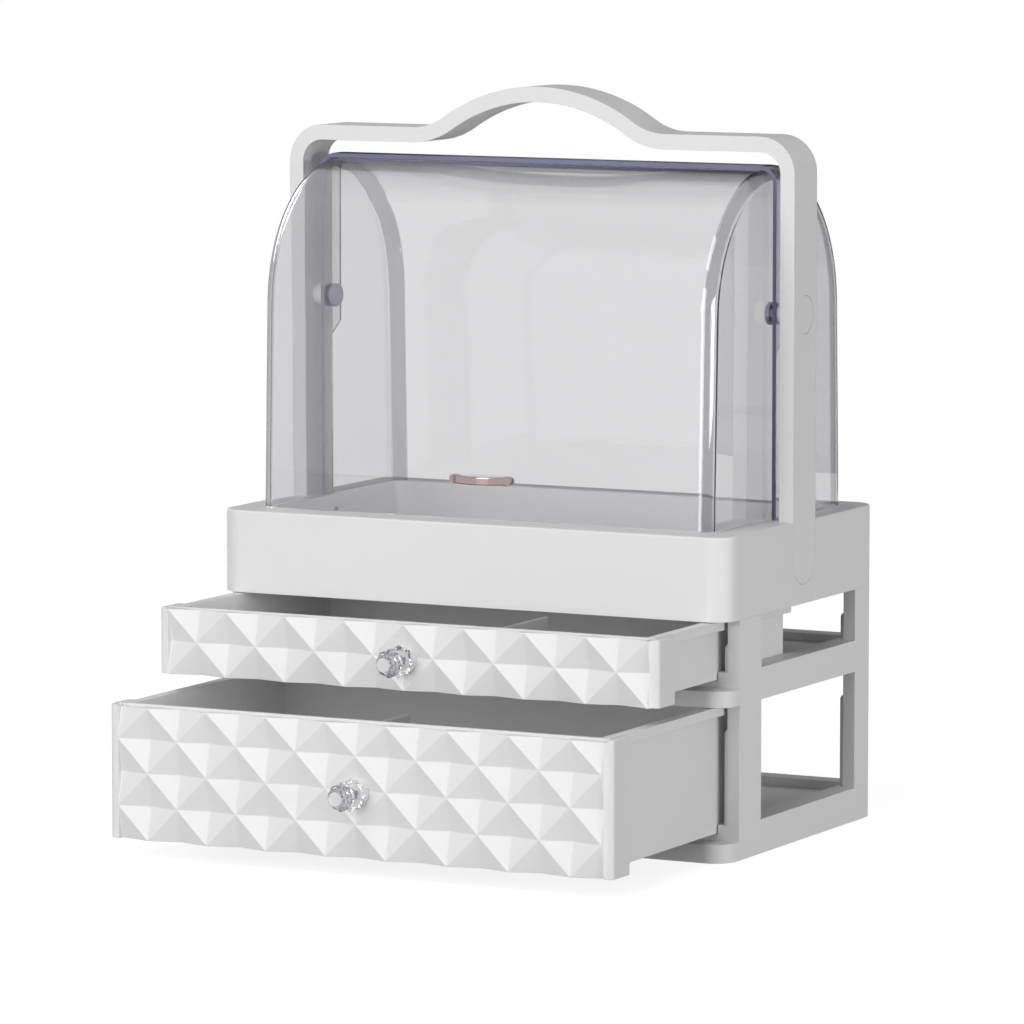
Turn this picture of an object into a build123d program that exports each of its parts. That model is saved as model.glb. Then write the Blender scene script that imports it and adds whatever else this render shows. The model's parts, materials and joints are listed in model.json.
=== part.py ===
"""Cosmetic organizer box: a tray under clear covers and a handle, on a frame with two drawers.

Frame of the model: X to the right, Y to the back, Z up, in millimetres. The origin is the
middle of the base plate's underside. Both drawers stand pulled out, as they do at rest here,
and the front cover is closed.
"""
import math
import os

from build123d import *

# Overall sizes
width = 320.0
depth = 200.0
corner_radius = 13.0
wall = 2.5

# Heights of the storeys
lip_height = 10.5
base_floor = 14.0
sill_height = 19.2
lower_bay_height = 67.1
rail_height = 18.0
upper_bay_height = 29.3
shelf_lip_height = 9.2
shelf_floor_above_lip = 4.1
tray_height = 46.8

# Frame
lip_depth = 16.0
lip_edge_radius = 1.0
column_thickness = 7.3
front_column_depth = 28.4
rear_column_depth = 29.7
rail_width = 13.0
floor_thickness = 2.6
rib_depth = 3.1
rib_width = 4.0
rib_setback = 3.0
rib_top_gap = 14.0
rib_top_radius = 2.8
rib_spacing_x = 53.0
rib_spacing_y = 62.0
tongue_depth = 4.0
tongue_height = 3.0
tenon_height = 10.0
tenon_thickness = 3.4
tenon_length = 16.0
socket_wall = 2.0

# Fits
seat_gap = 0.3
slide_gap = 0.6
groove_gap = 0.1
running_gap = 0.05

# Drawers
panel_side_gap = 5.0
panel_depth = 20.0
panel_gap = 0.4
panel_top_gap = 0.5
panel_edge_radius = 2.5
panel_skin = 5.5
return_thickness = 4.5
box_wall = 2.3
box_flange = 4.0
box_flange_height = 5.5
box_flange_lip = 1.8
box_rear_gap = 11.5
box_left_inside = 34.0
box_corner_radius = 3.0
upper_travel_left = 69.0
lower_travel_left = 14.0
nub_width = 10.0
nub_length = 5.0
nub_setback = 6.0
divider_thickness = 1.8
divider_edge_radius = 0.7
lower_divider_length = 36.0
lower_divider_x = 8.0
upper_divider_length = 60.0
upper_divider_x = 52.5
divider_drop = 1.0

# Faceted fronts: inverted pyramids on a chequered grid of cells
panel_border = 6.2
columns = 16
lower_rows = 4
upper_rows = 2
ridge_out = 2.0
valley_in = 2.4

# Knobs
knob_drop = 1.6
knob_petals = 8
knob_notch = 0.13
knob_foot_diameter = 11.0
knob_foot_length = 3.0
knob_base_diameter = 18.0
knob_base_rise = 2.0
knob_base_length = 5.5
knob_neck_diameter = 9.5
knob_neck_length = 3.0
knob_head_diameter = 18.5
knob_girdle_rise = 5.0
knob_girdle_width = 1.4
knob_head_length = 11.0
knob_table_diameter = 10.0
knob_seat_diameter = 15.0

# Tray
rim_plate = 4.0
rim_edge_radius = 1.2
well_side_rim = 22.0
well_front_rim = 24.0
well_rear_rim = 21.0
well_radius = 8.0
leg_block_margin = 4.0

# Covers, turning about the pivot
pivot_above_tray = 115.4
cover_setback = 16.2
cover_wall = 2.3
cover_play = 0.4
cover_side_play = 1.5
cover_flare = 3.4
front_cover_back = 9.0
front_cover_foot_back = -1.0
front_cover_ear = 13.0
front_cover_fillet = 7.5
rear_cover_front = -7.0
foot_gap = 0.6
groove_depth = 2.4

# Handle
handle_thickness = 8.7
handle_depth = 30.0
handle_clearance = 7.7
arch_rise = 24.7
arch_radius = 106.0
arch_blend = 35.0
handle_corner = 21.0
leg_foot_height = 10.9
foot_flat = 0.2

# Pivot pieces
stud_diameter = 8.0
stud_head_diameter = 13.0
stud_head_length = 3.0
cap_diameter = 21.6
cap_thickness = 2.4
cap_edge_radius = 0.5
stud_head_radius = 1.0
spacer_diameter = 13.0
spacer_length = 5.7
stud_hole_depth = 7.6

# Cover pull
pull_length = 38.6
pull_height = 4.7
pull_reach = 9.0
pull_thickness = 2.6
pull_above_rim = 23.0
pull_foot_diameter = 5.6

# Screws
screw_diameter = 3.0
screw_head_diameter = 6.0
screw_head_length = 2.2
drive_diameter = 2.4
drive_depth = 1.2
screw_head_radius = 0.8
screw_tip_chamfer = 0.6
frame_screw_length = 26.0
handle_screw_spread = 15.0
pivot_screw_length = 9.2
knob_screw_length = 16.5
pull_screw_length = 4.6
pull_screw_diameter = 2.0
pull_screw_head_diameter = 4.5
front_screw_length = 6.2

# Places worked out from the sizes above
half_width = width / 2
front = -depth / 2
rear = depth / 2
column_front = front + lip_depth
rail_bottom = sill_height + lower_bay_height
rail_top = rail_bottom + rail_height
tray_bottom = rail_top + upper_bay_height
tray_top = tray_bottom + tray_height
shelf_lip_top = rail_bottom + shelf_lip_height
shelf_floor = shelf_lip_top + shelf_floor_above_lip
bay_half_width = half_width - rail_width
rear_rail_front = rear - rail_width
column_inside = half_width - column_thickness
front_column_back = column_front + front_column_depth
rear_column_front = rear - rear_column_depth
column_mid_x = half_width - column_thickness / 2
front_column_mid = (column_front + front_column_back) / 2
rear_column_mid = rear_column_front + tenon_length / 2 + socket_wall

panel_width = width - 2 * panel_side_gap
cell_width = (panel_width - 2 * panel_border) / columns
front_screw_x = (columns // 2 - 1) * cell_width
lower_panel_bottom = lip_height + panel_gap
upper_panel_bottom = shelf_lip_top + panel_gap
lower_panel_height = rail_bottom - panel_top_gap - lower_panel_bottom
upper_panel_height = tray_bottom - panel_top_gap - upper_panel_bottom
closed_face = column_front - panel_depth - seat_gap
closed_box_front = closed_face + panel_skin + seat_gap
box_length = rear_rail_front - box_rear_gap - closed_box_front
full_travel = box_length - box_left_inside
upper_face = closed_face - full_travel + upper_travel_left
lower_face = closed_face - full_travel + lower_travel_left
flange_half_width = panel_width / 2 - return_thickness - seat_gap
box_half_width = flange_half_width - box_flange
closed_nub_back = closed_box_front + box_length - nub_setback
slot_front = closed_nub_back - nub_length - full_travel - slide_gap
slot_back = closed_nub_back + slide_gap + seat_gap

well_half_width = half_width - well_side_rim
well_front = front + well_front_rim
well_back = rear - well_rear_rim
well_floor = tray_bottom + wall

leg_inside = half_width - handle_thickness
pivot_height = tray_top + pivot_above_tray
rear_cover_half_width = leg_inside - spacer_length - 2 * groove_gap
rear_cover_inner_half_width = rear_cover_half_width - cover_wall
front_cover_half_width = rear_cover_inner_half_width - cover_side_play
front_cover_radius = depth / 2 - cover_setback - cover_flare
rear_cover_inner_radius = front_cover_radius + cover_play
rear_cover_radius = rear_cover_inner_radius + cover_wall
front_cover_foot = tray_top + foot_gap
rear_cover_foot = tray_top - groove_depth + groove_gap
rear_cover_fillet = front_cover_fillet + cover_play + cover_wall

leg_bottom = tray_bottom + leg_foot_height
handle_flat = pivot_height + rear_cover_radius + handle_clearance + handle_thickness
arch_centre = handle_flat + arch_rise - arch_radius
pull_z = tray_top + pull_above_rim
pull_wall_y = -front_cover_radius - cover_flare * (pivot_height - pull_z) / (pivot_height - tray_top)


def export(piece, name):
    """Label a finished piece and write it as its own STEP file."""
    piece.part.label = name
    export_step(piece.part, f"parts/{name}.step")


def screw(plane, length, diameter=screw_diameter, head=screw_head_diameter):
    """A pan-head screw on a plane: the head stands on the plane and the shank goes down."""
    with BuildPart() as piece:
        with BuildSketch(plane):
            Circle(head / 2)
        extrude(amount=screw_head_length)
        fillet(piece.faces().sort_by(Axis(plane.origin, plane.z_dir))[-1].edges(), screw_head_radius)
        with BuildSketch(plane):
            Circle(diameter / 2)
        extrude(amount=-length)
        chamfer(piece.faces().sort_by(Axis(plane.origin, plane.z_dir))[0].edges(), screw_tip_chamfer)
        with BuildSketch(plane.offset(screw_head_length)):
            RegularPolygon(drive_diameter / 2, 6)
        extrude(amount=-drive_depth, mode=Mode.SUBTRACT)
    return piece.part


def hole_radius(diameter=screw_diameter):
    """The radius of the hole that a screw's shank stands in."""
    return diameter / 2 + running_gap


os.makedirs("parts", exist_ok=True)

# Base plate: a rounded slab with rails on three sides, a low lip in front and a ribbed underside
base_screw_spots = [
    (side * column_mid_x, y) for side in (-1, 1) for y in (front_column_mid, rear_column_mid)
]
with BuildPart() as base_plate:
    with BuildSketch():
        RectangleRounded(width, depth, corner_radius)
    extrude(amount=sill_height)
    with BuildSketch(Plane.XY.offset(lip_height)):
        with Locations((0, front)):
            Rectangle(width, lip_depth, align=(Align.CENTER, Align.MIN))
    extrude(amount=sill_height - lip_height, mode=Mode.SUBTRACT)
    with BuildSketch(Plane.XY.offset(base_floor)):
        with Locations((0, column_front)):
            Rectangle(
                2 * bay_half_width,
                rear_rail_front - column_front,
                align=(Align.CENTER, Align.MIN),
            )
    extrude(amount=sill_height - base_floor, mode=Mode.SUBTRACT)
    lip_edge = base_plate.edges().filter_by(Plane.XY).group_by(Axis.Z)[-2].sort_by(Axis.Y)[0]
    fillet(lip_edge, lip_edge_radius)
    with BuildSketch():
        RectangleRounded(width - 2 * wall, depth - 2 * wall, corner_radius - wall)
        with GridLocations(rib_spacing_x, 1, 5, 1):
            Rectangle(wall, depth, mode=Mode.SUBTRACT)
        with GridLocations(1, rib_spacing_y, 1, 3):
            Rectangle(width, wall, mode=Mode.SUBTRACT)
        with Locations(*base_screw_spots):
            Circle(screw_head_diameter / 2 + 2 * wall, mode=Mode.SUBTRACT)
    extrude(amount=lip_height - wall, mode=Mode.SUBTRACT)
    with BuildSketch(Plane.XY.offset(base_floor)):
        with Locations((0, slot_front)):
            Rectangle(
                nub_width + 2 * slide_gap,
                slot_back - slot_front,
                align=(Align.CENTER, Align.MIN),
            )
    extrude(amount=-floor_thickness, mode=Mode.SUBTRACT)
    with Locations(*[(x, y, 0) for x, y in base_screw_spots]):
        Cylinder(
            screw_head_diameter / 2 + slide_gap / 2,
            screw_head_length + wall,
            align=(Align.CENTER, Align.CENTER, Align.MIN),
            mode=Mode.SUBTRACT,
        )
        Cylinder(
            hole_radius(),
            sill_height,
            align=(Align.CENTER, Align.CENTER, Align.MIN),
            mode=Mode.SUBTRACT,
        )
export(base_plate, "base_plate")

# Side frames: two columns and a middle rail round two open windows
frame_screw_tip = screw_head_length + wall + frame_screw_length
with BuildPart() as right_side_frame:
    with BuildSketch(Plane.XY.offset(sill_height)):
        with Locations((column_inside, column_front)):
            Rectangle(column_thickness, front_column_depth, align=Align.MIN)
    extrude(amount=tray_bottom - sill_height)
    with BuildSketch(Plane.XY.offset(sill_height)):
        RectangleRounded(width, depth, corner_radius)
        RectangleRounded(
            width - 2 * column_thickness,
            depth - 2 * column_thickness,
            corner_radius - column_thickness,
            mode=Mode.SUBTRACT,
        )
        with Locations((half_width, rear)):
            Rectangle(rail_width, rear_column_depth, align=Align.MAX, mode=Mode.INTERSECT)
    extrude(amount=tray_bottom - sill_height)
    with BuildSketch(Plane.XY.offset(rail_bottom)):
        RectangleRounded(width, depth, corner_radius)
        with Locations((bay_half_width, column_front)):
            Rectangle(rail_width, depth - lip_depth, align=Align.MIN, mode=Mode.INTERSECT)
    extrude(amount=rail_height)
    with BuildSketch(Plane.XZ.offset(-column_front)):
        with Locations((bay_half_width, rail_bottom + wall)):
            Rectangle(tongue_depth + groove_gap, tongue_height + 2 * groove_gap, align=Align.MIN)
    extrude(amount=-(rear_rail_front - column_front), mode=Mode.SUBTRACT)
    for bay_bottom, bay_top in ((sill_height, rail_bottom), (rail_top, tray_bottom)):
        for rib_y in (column_front + rib_setback, rear_column_front + rib_setback):
            with BuildSketch(Plane.YZ.offset(column_inside)):
                with Locations((rib_y, bay_bottom)):
                    Rectangle(rib_width, bay_top - bay_bottom - rib_top_gap, align=Align.MIN)
            extrude(amount=-rib_depth)
            crown = right_side_frame.faces().filter_by(Axis.Z).filter_by(
                lambda f, y=rib_y, z=bay_top - rib_top_gap: abs(f.center().Z - z) < 0.01
                and abs(f.center().Y - y - rib_width / 2) < 0.01
            )
            fillet(crown.edges().filter_by(Axis.Y).sort_by(Axis.X)[0], rib_top_radius)
    with BuildSketch(Plane.XY.offset(tray_bottom)):
        with Locations((column_mid_x, front_column_mid), (column_mid_x, rear_column_mid)):
            Rectangle(tenon_thickness, tenon_length)
    extrude(amount=tenon_height)
    with Locations(
        (column_mid_x, front_column_mid, sill_height), (column_mid_x, rear_column_mid, sill_height)
    ):
        Cylinder(
            hole_radius(),
            frame_screw_tip - sill_height + wall,
            align=(Align.CENTER, Align.CENTER, Align.MIN),
            mode=Mode.SUBTRACT,
        )
export(right_side_frame, "right_side_frame")

with BuildPart() as left_side_frame:
    mirror(right_side_frame.part, about=Plane.YZ)
export(left_side_frame, "left_side_frame")

frame_screw_parts = [
    screw(Plane((x, y, screw_head_length + wall), z_dir=(0, 0, -1)), frame_screw_length)
    for x, y in base_screw_spots
]
with BuildPart() as frame_screws:
    add(frame_screw_parts)
export(frame_screws, "frame_screws")

# Middle shelf: a plate between the middle rails, held by tongues, with a lip in front
with BuildPart() as middle_shelf:
    shelf_half = bay_half_width - groove_gap
    with BuildSketch(Plane.XY.offset(rail_bottom)):
        RectangleRounded(width, depth, corner_radius)
        with Locations((0, front)):
            Rectangle(
                width, lip_depth - groove_gap, align=(Align.CENTER, Align.MIN), mode=Mode.INTERSECT
            )
    extrude(amount=shelf_lip_height)
    with BuildSketch(Plane.XY.offset(rail_bottom)):
        with Locations((0, front + wall)):
            Rectangle(
                width - 2 * corner_radius,
                lip_depth - 2 * wall,
                align=(Align.CENTER, Align.MIN),
            )
    extrude(amount=shelf_lip_height - wall, mode=Mode.SUBTRACT)
    with BuildSketch(Plane.XY.offset(rail_bottom)):
        with Locations((0, column_front - wall)):
            Rectangle(2 * shelf_half, 2 * wall, align=(Align.CENTER, Align.MIN))
    extrude(amount=shelf_lip_height)
    with BuildSketch(Plane.XY.offset(rail_bottom)):
        with Locations((0, column_front)):
            Rectangle(
                2 * shelf_half,
                rear_rail_front + wall - column_front,
                align=(Align.CENTER, Align.MIN),
            )
    extrude(amount=shelf_floor - rail_bottom)
    with BuildSketch(Plane.XY.offset(rail_bottom)):
        with Locations((0, rear)):
            Rectangle(2 * shelf_half, rail_width, align=(Align.CENTER, Align.MAX))
    extrude(amount=rail_height)
    with BuildSketch(Plane.XY.offset(rail_bottom + wall + groove_gap)):
        with Locations((0, column_front)):
            Rectangle(
                2 * (bay_half_width + tongue_depth - groove_gap),
                rear_rail_front - column_front - wall,
                align=(Align.CENTER, Align.MIN),
            )
    extrude(amount=tongue_height)
    with BuildSketch(Plane.XY.offset(rail_bottom)):
        with Locations((0, column_front + wall)):
            Rectangle(
                2 * (shelf_half - wall),
                rear_rail_front - column_front - 2 * wall,
                align=(Align.CENTER, Align.MIN),
            )
    extrude(amount=shelf_floor - floor_thickness - rail_bottom, mode=Mode.SUBTRACT)
    with BuildSketch(Plane.XY.offset(rail_bottom)):
        with Locations((0, rear - wall)):
            Rectangle(
                2 * (shelf_half - wall),
                rail_width - 2 * wall,
                align=(Align.CENTER, Align.MAX),
            )
    extrude(amount=rail_height - wall, mode=Mode.SUBTRACT)
    with BuildSketch(Plane.XY.offset(shelf_floor)):
        with Locations((0, slot_front)):
            Rectangle(
                nub_width + 2 * slide_gap,
                slot_back - slot_front,
                align=(Align.CENTER, Align.MIN),
            )
    extrude(amount=-floor_thickness, mode=Mode.SUBTRACT)
export(middle_shelf, "middle_shelf")


def rear_cover_footprint(margin, corner):
    """The rear cover's outline on the tray, grown by a margin, open towards the front."""
    with BuildSketch() as footprint:
        with Locations((0, rear_cover_front - groove_gap)):
            Rectangle(
                2 * (rear_cover_half_width + margin),
                rear_cover_radius + cover_flare + margin + groove_gap - rear_cover_front,
                align=(Align.CENTER, Align.MIN),
            )
        fillet(footprint.vertices().group_by(Axis.Y)[-1], corner + margin)
    return footprint.sketch


# Upper tray: a double-walled rim round a deep well, with pockets for the handle's legs
leg_screw_heights = [
    (leg_bottom + tray_top) / 2 + shift for shift in (-handle_screw_spread / 2, handle_screw_spread / 2)
]
with BuildPart() as upper_tray:
    with BuildSketch(Plane.XY.offset(tray_bottom)):
        RectangleRounded(width, depth, corner_radius)
    extrude(amount=tray_height)
    fillet(upper_tray.faces().sort_by(Axis.Z)[-1].edges(), rim_edge_radius)
    with BuildSketch(Plane.XY.offset(well_floor)):
        with Locations((0, (well_front + well_back) / 2)):
            RectangleRounded(2 * well_half_width, well_back - well_front, well_radius)
    extrude(amount=tray_top - well_floor, mode=Mode.SUBTRACT)
    with BuildSketch(Plane.XY.offset(tray_bottom)):
        RectangleRounded(width - 2 * wall, depth - 2 * wall, corner_radius - wall)
        with Locations((0, (well_front + well_back) / 2)):
            RectangleRounded(
                2 * (well_half_width + wall),
                well_back - well_front + 2 * wall,
                well_radius + wall,
                mode=Mode.SUBTRACT,
            )
        with Locations((half_width, 0), (-half_width, 0)):
            Rectangle(
                2 * (half_width - well_half_width),
                handle_depth + 2 * leg_block_margin,
                mode=Mode.SUBTRACT,
            )
        with Locations(*base_screw_spots):
            Rectangle(
                2 * column_thickness, tenon_length + 2 * socket_wall, mode=Mode.SUBTRACT
            )
    extrude(amount=tray_height - rim_plate, mode=Mode.SUBTRACT)
    with BuildSketch(Plane.XY.offset(tray_bottom)):
        with Locations(*base_screw_spots):
            Rectangle(tenon_thickness + 2 * groove_gap, tenon_length + 2 * groove_gap)
    extrude(amount=tenon_height + groove_gap, mode=Mode.SUBTRACT)
    for side in (-1, 1):
        with BuildSketch(Plane.YZ.offset(side * (leg_inside - groove_gap))):
            with Locations((0, leg_bottom - groove_gap)):
                Rectangle(
                    handle_depth + 2 * groove_gap,
                    tray_height,
                    align=(Align.CENTER, Align.MIN),
                )
            fillet(vertices().group_by(Axis.Y)[0], handle_depth / 2 - foot_flat)
        extrude(amount=side * handle_thickness * 2, mode=Mode.SUBTRACT)
        for screw_z in leg_screw_heights:
            with BuildSketch(Plane.YZ.offset(side * (well_half_width - wall))):
                with Locations((0, screw_z)):
                    Circle(screw_head_diameter / 2 + slide_gap / 2)
            extrude(amount=side * (2 * wall), mode=Mode.SUBTRACT)
            with BuildSketch(Plane.YZ.offset(side * (well_half_width - wall))):
                with Locations((0, screw_z)):
                    Circle(hole_radius())
            extrude(amount=side * well_side_rim, mode=Mode.SUBTRACT)
    with BuildSketch(Plane.XY.offset(tray_top)):
        add(rear_cover_footprint(groove_gap, rear_cover_fillet))
        add(
            rear_cover_footprint(-cover_wall - groove_gap, rear_cover_fillet),
            mode=Mode.SUBTRACT,
        )
    extrude(amount=-groove_depth, mode=Mode.SUBTRACT)
export(upper_tray, "upper_tray")


def hood(half, radius, open_y, foot, edge_fillet, toward):
    """The solid inside a cover's surface: two sides, a wall that flares to its foot, and an arc."""
    flare = cover_flare * (pivot_height - foot) / (pivot_height - tray_top)
    rise = math.sqrt(radius**2 - open_y**2)
    diagonal = radius * math.sqrt(0.5)
    with BuildPart() as block:
        with BuildSketch(Plane.YZ):
            with BuildLine():
                Polyline(
                    (open_y, foot),
                    (toward * (radius + flare), foot),
                    (toward * radius, pivot_height),
                )
                ThreePointArc(
                    (toward * radius, pivot_height),
                    (toward * diagonal, pivot_height + diagonal),
                    (open_y, pivot_height + rise),
                )
                Line((open_y, pivot_height + rise), (open_y, foot))
            make_face()
        extrude(amount=half, both=True)
        sides = block.faces().filter_by(Axis.X).edges()
        opening = block.faces().sort_by(Axis.Y)[-1 if toward < 0 else 0].edges()
        fillet(sides - opening - block.faces().sort_by(Axis.Z)[0].edges(), edge_fillet)
    return block.part


front_outer = hood(
    front_cover_half_width, front_cover_radius, front_cover_back, front_cover_foot,
    front_cover_fillet, -1,
)
front_inner = hood(
    front_cover_half_width - cover_wall, front_cover_radius - cover_wall,
    front_cover_back + wall, front_cover_foot - wall, front_cover_fillet - cover_wall, -1,
)
rear_outer = hood(
    rear_cover_half_width, rear_cover_radius, rear_cover_front, rear_cover_foot,
    rear_cover_fillet, 1,
)
rear_inner = hood(
    rear_cover_inner_half_width, rear_cover_inner_radius, rear_cover_front - wall,
    rear_cover_foot - wall, rear_cover_fillet - cover_wall, 1,
)

# Front cover: the clear hood that swings up about the pivot, inside the rear one
pull_spots = [(side * (pull_length - pull_foot_diameter) / 2, pull_z) for side in (-1, 1)]
with BuildPart() as front_cover:
    add(front_outer)
    add(front_inner, mode=Mode.SUBTRACT)
    with BuildSketch(Plane.YZ):
        with BuildLine():
            Polyline(
                (front_cover_foot_back, front_cover_foot - wall),
                (front_cover_foot_back, pivot_height - front_cover_ear - front_cover_back),
                (front_cover_back + wall, pivot_height - front_cover_ear),
                (front_cover_back + wall, front_cover_foot - wall),
                close=True,
            )
        make_face()
    extrude(amount=half_width, both=True, mode=Mode.SUBTRACT)
    with BuildSketch(Plane.YZ):
        with Locations((0, pivot_height)):
            Circle(stud_diameter / 2 + running_gap)
    extrude(amount=half_width, both=True, mode=Mode.SUBTRACT)
    with BuildSketch(Plane.XZ.offset(front_cover_radius - 2 * cover_wall)):
        with Locations(*pull_spots):
            Circle(hole_radius(pull_screw_diameter))
    extrude(amount=4 * cover_wall, mode=Mode.SUBTRACT)
export(front_cover, "front_cover")

# Rear cover: the fixed clear hood, its foot in a groove of the tray's rim
with BuildPart() as rear_cover:
    add(rear_outer)
    add(rear_inner, mode=Mode.SUBTRACT)
    with BuildSketch(Plane.YZ):
        with Locations((0, pivot_height)):
            Circle(stud_diameter / 2 + running_gap)
    extrude(amount=half_width, both=True, mode=Mode.SUBTRACT)
export(rear_cover, "rear_cover")


def handle_side(inset, side):
    """One side's outline of the handle, inset from the outer face: corner, flat, blend and arch."""
    lean = math.acos(1 - arch_rise / (arch_radius + arch_blend))
    reach = (arch_radius + arch_blend) * math.sin(lean)
    radius = arch_radius - inset
    blend = arch_blend + inset
    corner = handle_corner - inset
    top = handle_flat - inset
    corner_x = half_width - handle_corner
    corner_z = handle_flat - handle_corner
    turn = math.sqrt(0.5) * corner
    arch_end = (side * radius * math.sin(lean), arch_centre + radius * math.cos(lean))
    blend_mid = (
        side * (reach - blend * math.sin(lean / 2)),
        handle_flat + arch_blend - blend * math.cos(lean / 2),
    )
    return [
        Line((side * (half_width - inset), leg_bottom), (side * (half_width - inset), corner_z)),
        ThreePointArc(
            (side * (half_width - inset), corner_z),
            (side * (corner_x + turn), corner_z + turn),
            (side * corner_x, top),
        ),
        Line((side * corner_x, top), (side * reach, top)),
        ThreePointArc((side * reach, top), blend_mid, arch_end),
    ]


# Handle: one bent bar whose legs are let into the tray's sides
with BuildPart() as handle:
    with BuildSketch(Plane.XZ):
        with BuildLine():
            for inset in (0, handle_thickness):
                left_lines = handle_side(inset, -1)
                right_lines = handle_side(inset, 1)
                ThreePointArc(
                    left_lines[-1] @ 1,
                    (0, arch_centre + arch_radius - inset),
                    right_lines[-1] @ 1,
                )
            for side in (-1, 1):
                Line((side * half_width, leg_bottom), (side * leg_inside, leg_bottom))
        make_face()
    extrude(amount=handle_depth / 2, both=True)
    feet = handle.faces().sort_by(Axis.Z)[:2]
    fillet(feet.edges().filter_by(Axis.X), handle_depth / 2 - foot_flat)
    for side in (-1, 1):
        with BuildSketch(Plane.YZ.offset(side * half_width)):
            with Locations((0, pivot_height)):
                Circle(cap_diameter / 2 + groove_gap)
        extrude(amount=-side * (cap_thickness + groove_gap), mode=Mode.SUBTRACT)
        with BuildSketch(Plane.YZ.offset(side * half_width)):
            with Locations((0, pivot_height)):
                Circle(screw_head_diameter / 2 + slide_gap / 2)
        extrude(
            amount=-side * (cap_thickness + groove_gap + screw_head_length + groove_gap),
            mode=Mode.SUBTRACT,
        )
        with BuildSketch(Plane.YZ.offset(side * (leg_inside - wall))):
            with Locations((0, pivot_height)):
                Circle(hole_radius())
        extrude(amount=side * handle_thickness, mode=Mode.SUBTRACT)
        with BuildSketch(Plane.YZ.offset(side * (leg_inside - wall))):
            with Locations(*[(0, z) for z in leg_screw_heights]):
                Circle(hole_radius())
        extrude(amount=side * (wall + handle_thickness / 2), mode=Mode.SUBTRACT)
export(handle, "handle")

handle_screw_parts = [
    screw(
        Plane((side * (well_half_width + wall), 0, z), z_dir=(-side, 0, 0)),
        leg_inside + handle_thickness / 2 - groove_gap - well_half_width - wall,
    )
    for side in (-1, 1)
    for z in leg_screw_heights
]
with BuildPart() as handle_screws:
    add(handle_screw_parts)
export(handle_screws, "handle_screws")

# Pivots: a headed stud through both covers, a spacer, a screw from outside and a flush cap
stud_inner_end = front_cover_half_width - cover_wall - seat_gap
for side, side_name in ((-1, "left"), (1, "right")):
    pivot_plane = Plane((0, 0, pivot_height), x_dir=(0, 1, 0), z_dir=(side, 0, 0))
    with BuildPart() as pivot_stud:
        with BuildSketch(pivot_plane.offset(stud_inner_end)):
            Circle(stud_head_diameter / 2)
        extrude(amount=-stud_head_length)
        fillet(pivot_stud.faces().sort_by(Axis((0, 0, 0), (side, 0, 0)))[0].edges(), stud_head_radius)
        with BuildSketch(pivot_plane.offset(stud_inner_end)):
            Circle(stud_diameter / 2)
        extrude(amount=leg_inside - groove_gap - stud_inner_end)
        with BuildSketch(pivot_plane.offset(leg_inside)):
            Circle(hole_radius())
        extrude(amount=-stud_hole_depth, mode=Mode.SUBTRACT)
    export(pivot_stud, f"{side_name}_pivot_stud")

    with BuildPart() as pivot_spacer:
        with BuildSketch(pivot_plane.offset(rear_cover_half_width + groove_gap)):
            Circle(spacer_diameter / 2)
            Circle(stud_diameter / 2 + running_gap, mode=Mode.SUBTRACT)
        extrude(amount=leg_inside - rear_cover_half_width - 2 * groove_gap)
    export(pivot_spacer, f"{side_name}_pivot_spacer")

    with BuildPart() as pivot_cap:
        with BuildSketch(pivot_plane.offset(half_width)):
            Circle(cap_diameter / 2)
        extrude(amount=-cap_thickness)
        fillet(pivot_cap.faces().sort_by(Axis((0, 0, 0), (side, 0, 0)))[-1].edges(), cap_edge_radius)
    export(pivot_cap, f"{side_name}_pivot_cap")

pivot_screw_seat = half_width - cap_thickness - 2 * groove_gap - screw_head_length
pivot_screw_parts = [
    screw(
        Plane((side * pivot_screw_seat, 0, pivot_height), z_dir=(side, 0, 0)),
        pivot_screw_length,
    )
    for side in (-1, 1)
]
with BuildPart() as pivot_screws:
    add(pivot_screw_parts)
export(pivot_screws, "pivot_screws")

# Cover pull: a slim bowed bar with two feet on the front cover
with BuildPart() as cover_pull:
    seat = pull_wall_y - groove_gap
    reach = seat - pull_reach
    half_pull = pull_length / 2
    with BuildSketch(Plane.XY.offset(pull_z - pull_height / 2)):
        with BuildLine():
            ThreePointArc((-half_pull, seat), (0, reach), (half_pull, seat))
            Line((half_pull, seat), (half_pull - pull_thickness, seat))
            ThreePointArc(
                (half_pull - pull_thickness, seat),
                (0, reach + pull_thickness),
                (-half_pull + pull_thickness, seat),
            )
            Line((-half_pull + pull_thickness, seat), (-half_pull, seat))
        make_face()
    extrude(amount=pull_height)
    fillet(cover_pull.faces().sort_by(Axis.Y)[0].edges(), 0.8)
    with BuildSketch(Plane.XZ.offset(-seat)):
        with Locations(*pull_spots):
            Circle(pull_foot_diameter / 2)
    extrude(amount=pull_thickness)
    with BuildSketch(Plane.XZ.offset(-seat)):
        with Locations(*pull_spots):
            Circle(hole_radius(pull_screw_diameter))
    extrude(amount=pull_screw_length - cover_wall - groove_gap, mode=Mode.SUBTRACT)
export(cover_pull, "cover_pull")

pull_screw_parts = [
    screw(
        Plane((x, pull_wall_y + cover_wall + groove_gap, z), z_dir=(0, 1, 0)),
        pull_screw_length - groove_gap,
        pull_screw_diameter,
        pull_screw_head_diameter,
    )
    for x, z in pull_spots
]
with BuildPart() as cover_pull_screws:
    add(pull_screw_parts)
export(cover_pull_screws, "cover_pull_screws")


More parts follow.
